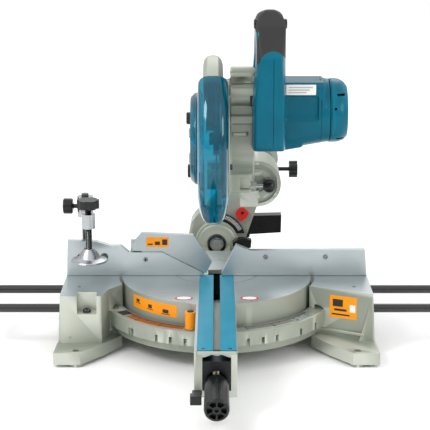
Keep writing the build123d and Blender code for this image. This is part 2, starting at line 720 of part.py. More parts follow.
def vise_post():
    """Post in the hole behind the left fence."""
    return disc_z(*VISE_POST, 5, 60.5, 196)


def vise_arm():
    """Arm that reaches over the fence, with its clamp on the post and the nut of the spindle."""
    post_x, post_y = VISE_POST
    nut_x, nut_y = VISE_SPINDLE
    body = disc_z(post_x, post_y, 11, 164, 192) + disc_z(nut_x, nut_y, 9, 165, 184.5)
    outline = [(post_x - 7, post_y), (post_x + 7, post_y), (nut_x + 6, nut_y), (nut_x - 6, nut_y)]
    body += prism_z(outline, 171, 184)
    body -= disc_z(post_x, post_y, 5 + FIT, 140, 200)
    body -= disc_z(nut_x, nut_y, 4.75 + FIT, 140, 200)
    body -= disc_x(post_y, VISE_CLAMP_Z, 3 + FIT, post_x - 15, post_x - 3)
    return body


def vise_clamp_screw():
    """Side knob that clamps the arm on the post."""
    x, y = VISE_POST
    return disc_x(y, VISE_CLAMP_Z, 3, x - 18, x - 5.2) + disc_x(y, VISE_CLAMP_Z, 10.8, x - 30.5, x - 17)


def vise_spindle():
    """Threaded spindle with its cone and round pad."""
    x, y = VISE_SPINDLE
    return disc_z(x, y, 24.7, 119, 124.5) + Pos(x, y, 130) * Cone(13, 6, 11) + disc_z(x, y, 4.75, 133, 192)


def vise_knob():
    """Star knob on top of the spindle."""
    x, y = VISE_SPINDLE
    knob = disc_z(x, y, 15, 192.4, 204)
    for i in range(6):
        notch_x, notch_y = polar(17.5, i * 60 + 30)
        knob -= disc_z(x + notch_x, y + notch_y, 4.5, 190, 206)
    return knob


def flip_fence():
    """Flip-over sub-fence that stands in line with the left fence."""
    outline = [
        (-116, 131), (-103, 146), (-32, 143), (-7, 104), (-14.5, 88.5), (-74.5, 119.9), (-116, 120.5),
    ]
    return prism_y(outline, 0.6, 9) + disc_y(*FLIP_PIVOT, 4.45, 8.5, 18)


PARTS = {
    "base_casting": base_casting,
    "rubber_feet": rubber_feet,
    "fence_left": fence_left,
    "fence_right": fence_right,
    "fence_bolts": fence_bolts,
    "rod_clamp_screws": rod_clamp_screws,
    "pivot_bolt": pivot_bolt,
    "holder_left": lambda: holder(-1),
    "holder_right": lambda: holder(1),
    "turntable_casting": turntable_casting,
    "kerf_board_left": lambda: kerf_board(-1),
    "kerf_board_right": lambda: kerf_board(1),
    "kerf_screws": kerf_screws,
    "lock_box": lock_box,
    "mitre_pointer": mitre_pointer,
    "bevel_scale": bevel_scale,
    "bevel_shaft": bevel_shaft,
    "mitre_grip": lambda: mitre_grip()[0],
    "lock_spindle": lambda: mitre_grip()[1],
    "mitre_stop_lever": mitre_stop_lever,
    "arm_casting": arm_casting,
    "pole_bushes": pole_bushes,
    "bevel_pointer": bevel_pointer,
    "bevel_lock_lever": bevel_lock_lever,
    "bevel_stop_lever": bevel_stop_lever,
    "slide_lock_screw": slide_lock_screw,
    "carriage_casting": carriage_casting,
    "slide_pole_left": lambda: slide_pole(POLE_X[0]),
    "slide_pole_right": lambda: slide_pole(POLE_X[1]),
    "pole_end_plate": pole_end_plate,
    "hinge_pin": hinge_pin,
    "stopper_pin": stopper_pin,
    "stopper_ball": stopper_ball,
    "gear_housing": gear_housing,
    "blade_case": blade_case,
    "motor_housing": motor_housing,
    "motor_end_cap": motor_end_cap,
    "handle_left": lambda: handle_half(48.5, 70.9),
    "handle_right": lambda: handle_half(71, 86),
    "grip_sleeve": grip_sleeve,
    "motor_stator": motor_stator,
    "ball_bearings": ball_bearings,
    "housing_screws": housing_screws,
    "armature": armature,
    "arbor_shaft": arbor_shaft,
    "drive_gear": drive_gear,
    "saw_blade": saw_blade,
    "blade_flanges": blade_flanges,
    "arbor_bolt": arbor_bolt,
    "lower_guard": lower_guard,
    "centre_cover": centre_cover,
    "trigger": trigger,
    "lock_off_button": lock_off_button,
    "vise_post": vise_post,
    "vise_arm": vise_arm,
    "vise_clamp_screw": vise_clamp_screw,
    "vise_spindle": vise_spindle,
    "vise_knob": vise_knob,
    "flip_fence": flip_fence,
}


def main():
    """Writes one STEP file for each piece."""
    os.makedirs("parts", exist_ok=True)
    for name, make in PARTS.items():
        export_step(make(), f"parts/{name}.step")


if __name__ == "__main__":
    main()
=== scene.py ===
"""Looks of a compact sliding mitre saw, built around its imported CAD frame.

Laid out as an add-on and run as a script. Metres; X to the right, Y to the back, Z up.
"""

import json
import math

import bpy
from mathutils import Matrix, Vector


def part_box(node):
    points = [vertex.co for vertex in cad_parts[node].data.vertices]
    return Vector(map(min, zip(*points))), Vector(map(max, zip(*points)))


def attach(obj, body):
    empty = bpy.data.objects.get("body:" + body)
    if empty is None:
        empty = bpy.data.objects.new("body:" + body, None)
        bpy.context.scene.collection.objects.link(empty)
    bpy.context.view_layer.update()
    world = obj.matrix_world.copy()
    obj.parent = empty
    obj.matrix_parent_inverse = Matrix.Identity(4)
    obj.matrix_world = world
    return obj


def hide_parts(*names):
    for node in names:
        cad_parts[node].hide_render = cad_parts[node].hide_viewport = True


bl_info = {
    "name": "Sliding mitre saw",
    "version": (1, 0, 0),
    "blender": (4, 5, 0),
    "location": "3D View > Sidebar > Mitre saw",
    "description": "Builds the visible pieces of a sliding mitre saw on its CAD frame",
    "category": "Object",
}

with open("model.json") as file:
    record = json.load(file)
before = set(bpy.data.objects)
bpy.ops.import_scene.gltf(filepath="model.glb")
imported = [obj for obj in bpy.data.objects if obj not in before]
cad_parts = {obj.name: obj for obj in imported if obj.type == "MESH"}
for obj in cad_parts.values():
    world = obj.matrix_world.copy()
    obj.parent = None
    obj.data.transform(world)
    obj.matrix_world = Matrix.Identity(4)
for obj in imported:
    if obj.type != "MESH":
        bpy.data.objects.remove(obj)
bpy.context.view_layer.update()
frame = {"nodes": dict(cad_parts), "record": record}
MM = 0.001
SMOOTH_ANGLE = math.radians(35)
FACES_UP = 0.95           # the least upward part of a milled face's normal
MILLED_DEPTH = 1.5 * MM   # how far under the table's top a milled face may lie
TABLE_REACH = 133 * MM    # the turntable is milled out to this radius


def middle(node):
    """Centre of a CAD node's box."""
    low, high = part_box(node)
    return (low + high) / 2


def mm(*values):
    """These millimetres as a tuple of metres."""
    return tuple(value * MM for value in values)


def pairs_mm(*pairs):
    """These pairs of millimetres as pairs of metres."""
    return [mm(*pair) for pair in pairs]


def pairs_from(start, *pairs):
    """These pairs of millimetres as pairs of metres, the first number counted from a start."""
    return [(start + along * MM, radius * MM) for along, radius in pairs]


def clamped(value):
    """The value held between 0 and 1."""
    return min(1.0, max(0.0, value))


def eased(share):
    """A share from 0 to 1 that starts and ends gently."""
    return share * share * (3 - 2 * share)


BLADE = middle("saw_blade")
MOTOR = middle("motor_end_cap")
TABLE_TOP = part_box("base_casting")[1].z
GRIP_HEIGHT = 48 * MM     # where the lock spindle leaves the front arm
BODIES = {node: body for body, nodes in frame["record"]["behaviour"]["bodies"].items() for node in nodes}


# ---------------------------------------------------------------- mesh helpers

def deselect():
    """Nothing selected, object mode."""
    if bpy.context.object and bpy.context.object.mode != "OBJECT":
        bpy.ops.object.mode_set(mode="OBJECT")
    bpy.ops.object.select_all(action="DESELECT")


def activate(piece):
    """Selects one object alone."""
    deselect()
    piece.select_set(True)
    bpy.context.view_layer.objects.active = piece


def start_mesh(name, points, edges=(), faces=()):
    """A new mesh object from an outline, selected alone."""
    mesh = bpy.data.meshes.new(name)
    mesh.from_pydata(points, list(edges), list(faces))
    piece = bpy.data.objects.new(name, mesh)
    bpy.context.scene.collection.objects.link(piece)
    activate(piece)
    return piece


def tidy_mesh(piece):
    """Merges doubles and turns every face outwards."""
    activate(piece)
    bpy.ops.object.mode_set(mode="EDIT")
    bpy.ops.mesh.select_all(action="SELECT")
    bpy.ops.mesh.remove_doubles(threshold=0.00001)
    bpy.ops.mesh.normals_make_consistent(inside=False)
    bpy.ops.object.mode_set(mode="OBJECT")


def shaped(piece, operator, **settings):
    """Runs one edit-mode operator on the whole mesh and tidies the result."""
    bpy.ops.object.mode_set(mode="EDIT")
    bpy.ops.mesh.select_all(action="SELECT")
    operator(**settings)
    bpy.ops.object.mode_set(mode="OBJECT")
    tidy_mesh(piece)
    return piece


def lay(axis, a, b, along):
    """A 3-D point from two numbers across an axis and one along it."""
    return {"X": (along, a, b), "Y": (a, along, b), "Z": (a, b, along)}[axis]


def extruded(name, outline, axis, low, high):
    """A solid of this outline, given across the axis, between two places along it."""
    points = [lay(axis, a, b, low) for a, b in outline]
    piece = start_mesh(name, points, faces=[range(len(points))])
    move = {"value": lay(axis, 0, 0, high - low)}
    return shaped(piece, bpy.ops.mesh.extrude_region_move, TRANSFORM_OT_translate=move)


def turned(name, profile, axis, centre, steps=64, closed=False):
    """A turned solid: the profile holds (place along the axis, radius) pairs."""
    across = {"X": (0, 0, 1), "Y": (0, 0, 1), "Z": (1, 0, 0)}[axis]
    along = Vector(lay(axis, 0, 0, 1))
    points = [Vector(centre) + along * place + Vector(across) * radius for place, radius in profile]
    edges = [(i, i + 1) for i in range(len(points) - 1)]
    if closed:
        edges.append((len(points) - 1, 0))
    piece = start_mesh(name, points, edges=edges)
    return shaped(piece, bpy.ops.mesh.spin, steps=steps, angle=math.tau, center=centre, axis=along)


def swept(name, profile, centre, start, end, steps):
    """A closed (x, radius) profile swept about X from one angle to another, in degrees from +Y to +Z."""
    turn = Matrix.Rotation(math.radians(start), 3, "X")
    points = [Vector(centre) + turn @ Vector((x, r, 0)) for x, r in profile]
    piece = start_mesh(name, points, faces=[range(len(points))])
    angle = math.radians(start - end)   # the spin operator turns the other way
    return shaped(piece, bpy.ops.mesh.spin, steps=steps, angle=angle, center=centre, axis=(1, 0, 0))


def arc_plate(name, inner, outer, start, end, low, high):
    """A curved plate about the turntable's axis; angles in degrees from the front, positive to the right."""
    count = max(2, round(abs(end - start) / 2))
    angles = [math.radians(start + (end - start) * i / count) for i in range(count + 1)]
    outline = [(outer * math.sin(a), -outer * math.cos(a)) for a in angles]
    outline += [(inner * math.sin(a), -inner * math.cos(a)) for a in reversed(angles)]
    return extruded(name, outline, "Z", low, high)


def ring_tool(name, inner, outer, low, high):
    """A cutting ring about Z."""
    profile = [(low, inner), (low, outer), (high, outer), (high, inner)]
    return turned(name, profile, "Z", (0, 0, 0), 96, closed=True)


def ring_tool_x(name, centre, inner, outer, low, high):
    """A cutting ring about X through this centre."""
    profile = [(low, inner), (low, outer), (high, outer), (high, inner)]
    return turned(name, profile, "X", (0, centre.y, centre.z), 96, closed=True)


def socket_screw(name, axis, place, radius, reach):
    """A round screw head with a hexagon socket; reach is how far it stands out, with its sign."""
    base = {"Y": place.y, "Z": place.z}[axis]
    top = base + reach
    step = math.copysign(0.25 * radius, reach)
    profile = [(base, 0.0), (base, radius), (top - step, radius), (top, radius * 0.85), (top, radius * 0.48),
               (top - 2 * step, radius * 0.45), (top - 2 * step, 0.0)]
    centre = (place.x, 0, place.z) if axis == "Y" else (place.x, place.y, 0)
    return smooth(turned(name, profile, axis, centre, 36))


def label_on(name, target, x0, x1, z0, z1, thickness=0.25 * MM):
    """A thin plate lying on whatever front surface the target shows between these limits."""
    near, far = [], []
    for x, z in ((x0, z0), (x1, z0), (x1, z1), (x0, z1)):
        found, place, normal, _ = target.ray_cast(Vector((x, -1, z)), Vector((0, 1, 0)))
        if not found:
            raise RuntimeError("there is no surface behind " + name)
        near.append(place + normal * thickness)
        far.append(place - normal * thickness)
    faces = [(0, 1, 2, 3), (7, 6, 5, 4)] + [(i, i + 4, (i + 1) % 4 + 4, (i + 1) % 4) for i in range(4)]
    piece = start_mesh(name, near + far, faces=faces)
    tidy_mesh(piece)
    return piece


def soften(piece, voxel, rounds):
    """Unites overlapping solids and rounds every edge and corner, as a casting's are."""
    apply_modifier(piece, "REMESH", mode="VOXEL", voxel_size=voxel, use_smooth_shade=True)
    apply_modifier(piece, "SMOOTH", factor=0.5, iterations=rounds)
    return piece


def block(name, low, high):
    """A box between two corners."""
    deselect()
    centre = (Vector(low) + Vector(high)) / 2
    bpy.ops.mesh.primitive_cube_add(size=1, location=centre)
    piece = bpy.context.object
    piece.name = name
    piece.scale = Vector(high) - Vector(low)
    bpy.ops.object.transform_apply(location=True, rotation=True, scale=True)
    return piece


def cylinder(name, axis, centre, radius, length, sides=48):
    """A cylinder about an axis through its centre."""
    deselect()
    turn = {"X": (0, math.pi / 2, 0), "Y": (math.pi / 2, 0, 0), "Z": (0, 0, 0)}[axis]
    bpy.ops.mesh.primitive_cylinder_add(
        vertices=sides, radius=radius, depth=length, location=centre, rotation=turn
    )
    piece = bpy.context.object
    piece.name = name
    bpy.ops.object.transform_apply(location=True, rotation=True, scale=True)
    return piece


def apply_modifier(piece, kind, **settings):
    """Adds one modifier and applies it."""
    activate(piece)
    modifier = piece.modifiers.new(kind.title(), kind)
    for key, value in settings.items():
        setattr(modifier, key, value)
    bpy.ops.object.modifier_apply(modifier=modifier.name)
    return piece


def round_edges(piece, width, segments=2, angle=30):
    """Bevels edges sharper than the angle, then smooths the shading."""
    apply_modifier(
        piece, "BEVEL", width=width, segments=segments, limit_method="ANGLE",
        angle_limit=math.radians(angle), use_clamp_overlap=True, harden_normals=False,
    )
    smooth(piece)
    return apply_modifier(piece, "WEIGHTED_NORMAL", keep_sharp=True, weight=60)


def smooth(piece):
    """Smooth shading with sharp edges kept."""
    activate(piece)
    bpy.ops.object.shade_smooth_by_angle(angle=SMOOTH_ANGLE)
    return piece


def cut(piece, *tools):
    """Takes the tools' volume out of the piece and deletes them."""
    for tool in tools:
        apply_modifier(piece, "BOOLEAN", operation="DIFFERENCE", object=tool, solver="EXACT")
        bpy.data.objects.remove(tool)
    return piece


def join(name, pieces):
    """Joins several objects into one."""
    activate(pieces[0])
    for piece in pieces[1:]:
        piece.select_set(True)
    bpy.ops.object.join()
    pieces[0].name = name
    return pieces[0]


def copy_of_node(node, name):
    """A merged copy of a CAD node's mesh, with its flat faces joined up again."""
    piece = bpy.data.objects.new(name, frame["nodes"][node].data.copy())
    bpy.context.scene.collection.objects.link(piece)
    piece.data.materials.clear()
    activate(piece)
    bpy.ops.object.mode_set(mode="EDIT")
    bpy.ops.mesh.select_all(action="SELECT")
    bpy.ops.mesh.remove_doubles(threshold=0.000005)
    bpy.ops.mesh.dissolve_limited(angle_limit=math.radians(0.5))
    bpy.ops.object.mode_set(mode="OBJECT")
    return piece


def mill_top(piece, reach=math.inf):
    """Gives the faces level with the table, out to this radius, the milled finish."""
    piece.data.materials.append(MATERIALS["machined"])
    for face in piece.data.polygons:
        near = math.hypot(face.center.x, face.center.y) < reach
        if near and face.normal.z > FACES_UP and face.center.z > TABLE_TOP - MILLED_DEPTH:
            face.material_index = 1


def keep(piece, body, finish, slot=None, replaces=()):
    """Gives a piece its finish and body and hides the CAD nodes it replaces; the slot argument is not used.
    """
    piece.data.materials.clear()
    piece.data.materials.append(MATERIALS[finish])
    slot = slot or finish
    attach(piece, body)
    if replaces:
        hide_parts(*replaces)
    return piece


def finish_node(node, finish, slot=None, width=0.8 * MM, segments=2):
    """Stands a rounded copy in for a CAD node."""
    piece = round_edges(copy_of_node(node, node + "_body"), width, segments)
    return keep(piece, BODIES[node], finish, slot, [node])


def paint_node(node, finish):
    """Gives a carried-over CAD node its finish."""
    mesh = frame["nodes"][node].data
    mesh.materials.clear()
    mesh.materials.append(MATERIALS[finish])


# ---------------------------------------------------------------- materials

def colour(code):
    """An sRGB hex code as linear RGBA."""
    channels = [int(code[i:i + 2], 16) / 255 for i in (1, 3, 5)]
    linear = [c / 12.92 if c <= 0.04045 else ((c + 0.055) / 1.055) ** 2.4 for c in channels]
    return (*linear, 1.0)


def add(tree, kind, links=None, **settings):
    """Adds one node; links maps an input to a value or to another node's output."""
    node = tree.nodes.new("ShaderNode" + kind)
    for key, value in settings.items():
        setattr(node, key, value)
    for key, value in (links or {}).items():
        if isinstance(value, bpy.types.NodeSocket):
            tree.links.new(value, node.inputs[key])
        else:
            node.inputs[key].default_value = value
    return node


def new_material(name):
    """An empty node material with its output, and its tree."""
    material = bpy.data.materials.new(name)
    material.use_nodes = True
    material.node_tree.nodes.clear()
    return material, material.node_tree


def close_material(tree, shader):
    """Links the shader to the output."""
    output = add(tree, "OutputMaterial")
    tree.links.new(shader.outputs[0], output.inputs["Surface"])


def principled(material, tree, inputs):
    """Closes a material with one Principled shader."""
    close_material(tree, add(tree, "BsdfPrincipled", inputs))
    return material


def noise(tree, where, scale, detail):
    """Noise between 0 and 1."""
    return add(tree, "TexNoise", {"Vector": where, "Scale": scale, "Detail": detail}).outputs[0]


def spread(tree, value, low, high):
    """A value from 0 to 1 mapped to this range."""
    return add(tree, "MapRange", {"Value": value, "To Min": low, "To Max": high}).outputs[0]


def place_pattern(tree, scale=(1, 1, 1)):
    """Object coordinates through a mapping."""
    coordinates = add(tree, "TexCoord")
    return add(tree, "Mapping", {"Vector": coordinates.outputs["Object"], "Scale": scale}).outputs[0]


def blend_colours(tree, factor, first, second):
    """A colour between two, by a factor socket."""
    mix = add(tree, "Mix", data_type="RGBA")
    tree.links.new(factor, mix.inputs[0])
    for index, value in ((6, first), (7, second)):
        if isinstance(value, bpy.types.NodeSocket):
            tree.links.new(value, mix.inputs[index])
        else:
            mix.inputs[index].default_value = value
    return mix.outputs[2]


def edge_wear(tree, low=0.52, high=0.6):
    """1 on sharp outer edges, 0 elsewhere: where edges are painted paler, partly as wear and partly as a
    painted highlight.
    """
    geometry = add(tree, "NewGeometry")
    return add(
        tree, "MapRange",
        {"Value": geometry.outputs["Pointiness"], "From Min": low, "From Max": high},
    ).outputs[0]


def per_metre(millimetres):
    """A texture scale whose features are this many millimetres across."""
    return 1 / (millimetres * MM)


def cast_paint():
    """Die-cast aluminium with a thin grey-green satin coat: faintly grainy, with paler edges that are partly
    wear and partly a painted highlight.
    """
    material, tree = new_material("grey_coated_casting")
    where = place_pattern(tree)
    cloud = noise(tree, where, per_metre(60), 3.0)
    grain = noise(tree, where, per_metre(1.2), 4.0)
    base = blend_colours(tree, cloud, colour("#8B9185"), colour("#A3A89B"))
    # the edges are painted paler: partly worn coat, partly a painted highlight
    worn_and_highlighted = blend_colours(tree, edge_wear(tree), base, colour("#C4C8BD"))
    bump = add(tree, "Bump", {"Strength": 0.12, "Distance": 0.0003, "Height": grain})
    rough = spread(tree, grain, 0.33, 0.47)
    return principled(material, tree, {
        "Base Color": worn_and_highlighted, "Metallic": 0.35, "Roughness": rough, "Normal": bump.outputs[0],
    })


def machined_aluminium(name="milled_aluminium", dark="#969FA2", light="#BEC6C8"):
    """Milled and sanded aluminium: bright, with fine straight scratches along X."""
    material, tree = new_material(name)
    streaks_at = place_pattern(tree, (per_metre(40), per_metre(1.5), per_metre(0.7)))
    streaks = noise(tree, streaks_at, 1.0, 5.0)
    cloud = noise(tree, place_pattern(tree), per_metre(80), 1.0)
    base = blend_colours(tree, streaks, colour(dark), colour(light))
    tinted = blend_colours(tree, cloud, base, colour("#C9D1D2"))
    rough = spread(tree, streaks, 0.24, 0.42)
    bump = add(tree, "Bump", {"Strength": 0.05, "Distance": 0.0001, "Height": streaks})
    return principled(material, tree, {
        "Base Color": tinted, "Metallic": 0.85, "Roughness": rough, "Normal": bump.outputs[0],
    })


def steel(name="turned_steel", tone="#A4A7AA", roughness=0.25):
    """Zinc-plated or ground steel: a metal with a faint cloudiness."""
    material, tree = new_material(name)
    cloud = noise(tree, place_pattern(tree), per_metre(3), 4.0)
    base = blend_colours(tree, cloud, colour(tone), colour("#BDC0C2"))
    rough = spread(tree, cloud, roughness * 0.8, roughness * 1.5)
    return principled(material, tree, {"Base Color": base, "Metallic": 1.0, "Roughness": rough})


def moulded(name, dark, light, roughness, grain_mm=0.6, relief=0.08, coat=0.0, shine=0.5):
    """Injection-moulded plastic: even colour, fine spark-eroded texture, paler edges that are partly rubbed
    wear and partly a painted highlight.
    """
    material, tree = new_material(name)
    where = place_pattern(tree)
    grain = noise(tree, where, per_metre(grain_mm), 3.0)
    cloud = noise(tree, where, per_metre(45), 2.0)
    base = blend_colours(tree, cloud, colour(dark), colour(light))
    # rim: the light colour painted on sharp edges, partly rubbed wear and partly a painted highlight
    rim = blend_colours(tree, edge_wear(tree, 0.54, 0.7), base, colour(light))
    bump = add(tree, "Bump", {"Strength": relief, "Distance": 0.0002, "Height": grain})
    rough = spread(tree, grain, roughness * 0.85, roughness * 1.25)
    return principled(material, tree, {
        "Base Color": rim, "Roughness": rough, "Normal": bump.outputs[0],
        "Coat Weight": coat, "Coat Roughness": 0.12, "Specular IOR Level": shine,
    })


def clear_blue():
    """Tinted polycarbonate: see-through and glossy, with a few faint scuffs."""
    material, tree = new_material("tinted_polycarbonate")
    scuffs = noise(tree, place_pattern(tree), per_metre(9), 5.0)
    base = blend_colours(tree, scuffs, colour("#027490"), colour("#0A90AE"))
    rough = spread(tree, scuffs, 0.02, 0.07)
    return principled(material, tree, {
        "Base Color": base, "Roughness": rough, "Transmission Weight": 0.8, "IOR": 1.45,
    })


MATERIALS = {}


def make_materials():
    """Every finish of the saw, by slot name."""
    MATERIALS.update(
        cast_grey=cast_paint(),
        machined=machined_aluminium(),
        steel=steel(),
        chrome=steel("ground_chrome", "#9B9FA3", 0.26),
        brass=steel("yellow_passivated_steel", "#B3A03A", 0.3),
        dark_steel=steel("dark_zinc_steel", "#5A5E61", 0.35),
        # the second colour of each moulded finish is also painted on its edges as a highlight
        blue_shell=moulded("blue_abs", "#004F63", "#00677D", 0.24, 0.5, 0.05, shine=0.16),
        kerf_blue=moulded("blue_polyamide", "#107892", "#1C8CA8", 0.3, 0.9, 0.05, shine=0.2),
        clear_blue=clear_blue(),
        black_plastic=moulded("black_polyamide", "#08090A", "#17181A", 0.27, shine=0.4),
        rubber=moulded("grey_black_elastomer", "#100F0F", "#22201F", 0.55, 0.8, 0.2),
        red_plastic=moulded("red_polyamide", "#B01511", "#D9241D", 0.3),
        orange_plastic=moulded("orange_polyamide", "#E88A06", "#F99D14", 0.4, shine=0.3),
        amber_ink=moulded("amber_printed_scale", "#6E3412", "#A0602A", 0.5, shine=0.2),
        grey_ink=moulded("grey_printed_scale", "#66665F", "#83837B", 0.5, shine=0.2),
        bright_steel=steel("bright_zinc_steel", "#D5D8DA", 0.3),
        matt_black=moulded("matt_black_rubber", "#050505", "#0A0A0B", 0.9, shine=0.02),
        blade_steel=steel("ground_blade_steel", "#8F9396", 0.3),
        black_steel=moulded("black_oxide_steel", "#090A0C", "#16181B", 0.22, 1.5, 0.02, 0.5),
        grey_plate=machined_aluminium("grey_anodised_aluminium", "#7E8688", "#9AA2A4"),
        core_steel=steel("laminated_steel", "#6E5B4A", 0.45),
        scale_plate=machined_aluminium("anodised_scale", "#8E8F88", "#B9BAB3"),
        mark_black=moulded("printed_black_ink", "#1A1512", "#2A211C", 0.5),
        paper_white=moulded("white_vinyl", "#E4E4E0", "#F5F5F2", 0.4),
    )


# ---------------------------------------------------------------- settings

class MitreSawSettings(bpy.types.PropertyGroup):
    """Sizes that a user may change."""

    edge_radius: bpy.props.FloatProperty(
        name="Casting edge radius", description="Rounding of the cast edges",
        default=0.0016, min=0.0002, max=0.004, unit="LENGTH",
    )
    floor_colour: bpy.props.FloatVectorProperty(
        name="Floor colour", description="Colour of the studio floor",
        default=(0.86, 0.86, 0.86), size=3, subtype="COLOR",
    )


class PieceOperator(bpy.types.Operator):
    """Shared settings of the saw's operators."""

    bl_options = {"REGISTER", "UNDO"}

    @property
    def saw(self):
        return bpy.context.scene.mitre_saw


class MITRESAW_OT_stage(PieceOperator):
    """Builds the floor, the lights and the camera"""

    bl_idname = "mitre_saw.stage"
    bl_label = "Stage"

    def execute(self, context):
        deselect()
        bpy.ops.mesh.primitive_plane_add(size=12, location=(0, 1.5, 0))
        floor = bpy.context.object
        floor.name = "studio_floor"
        material, tree = new_material("pale_paper")
        fibres = add(tree, "TexNoise", {"Vector": place_pattern(tree), "Scale": per_metre(2)})
        tone = blend_colours(tree, fibres.outputs[0], (*self.saw.floor_colour, 1), (1.0, 1.0, 1.0, 1))
        close_material(tree, add(tree, "BsdfPrincipled", {"Base Color": tone, "Roughness": 0.9}))
        floor.data.materials.append(material)
        self.add_world(context)
        context.scene.view_settings.view_transform = "Standard"
        for name, place, size, power in (
            ("key_light", (-1.5, -1.3, 1.9), 0.9, 26),
            ("fill_light", (1.9, -1.1, 1.0), 0.8, 13),
            ("rim_light", (0.3, 2.4, 2.0), 1.6, 11),
        ):
            self.add_light(name, place, size, power)
        self.add_camera(context)
        return {"FINISHED"}

    def add_world(self, context):
        """A studio that is brighter overhead than at eye level."""
        world = bpy.data.worlds.new("studio")
        context.scene.world = world
        world.use_nodes = True
        tree = world.node_tree
        where = add(tree, "TexCoord", {})
        height = add(tree, "SeparateXYZ", {"Vector": where.outputs["Generated"]})
        light = add(tree, "MapRange", {
            "Value": height.outputs["Z"], "From Min": 0.0, "From Max": 0.6, "To Min": 0.5, "To Max": 1.16,
        })
        background = tree.nodes["Background"]
        background.inputs["Color"].default_value = (1, 1, 1, 1)
        tree.links.new(light.outputs[0], background.inputs["Strength"])

    def add_light(self, name, place, size, power):
        lamp = bpy.data.lights.new(name, "AREA")
        lamp.size = size
        lamp.energy = power
        holder = bpy.data.objects.new(name, lamp)
        bpy.context.scene.collection.objects.link(holder)
        holder.location = place
        holder.rotation_euler = (Vector((0, -0.05, 0.2)) - Vector(place)).to_track_quat("-Z", "Y").to_euler()

    def add_camera(self, context):
        distance, raised = 1.966, math.radians(16.5)
        aim_height, pitch = 0.085, math.radians(14.05)
        camera = bpy.data.cameras.new("camera")
        camera.sensor_width = 36
        camera.lens = 118.9
        camera.shift_x = -0.004
        holder = bpy.data.objects.new("camera", camera)
        context.scene.collection.objects.link(holder)
        holder.location = (0, -distance * math.cos(raised), aim_height + distance * math.sin(raised))
        holder.rotation_euler = (math.pi / 2 - pitch, 0, 0)
        context.scene.camera = holder


class MITRESAW_OT_small_pieces(PieceOperator):
    """Gives the carried-over CAD pieces their finishes"""

    bl_idname = "mitre_saw.small_pieces"
    bl_label = "Small pieces"

    def execute(self, context):
        slots = {row["node"]: row["material_slot"] for row in frame["record"]["subparts"]}
        for node, slot in slots.items():
            paint_node(node, slot)
        paint_node("bevel_shaft", "bright_steel")
        for node in ("vise_post", "vise_spindle"):
            paint_node(node, "black_steel")
        for node, width in (
            ("kerf_board_left", 0.5), ("kerf_board_right", 0.5), ("mitre_stop_lever", 1.8),
            ("bevel_lock_lever", 2.2), ("bevel_stop_lever", 2.8), ("slide_lock_screw", 1.2),
            ("vise_knob", 1.6), ("vise_clamp_screw", 2.2), ("lock_box", 0.6), ("mitre_pointer", 0.6),
        ):
            finish_node(node, slots[node], width=width * MM, segments=3)
        return {"FINISHED"}


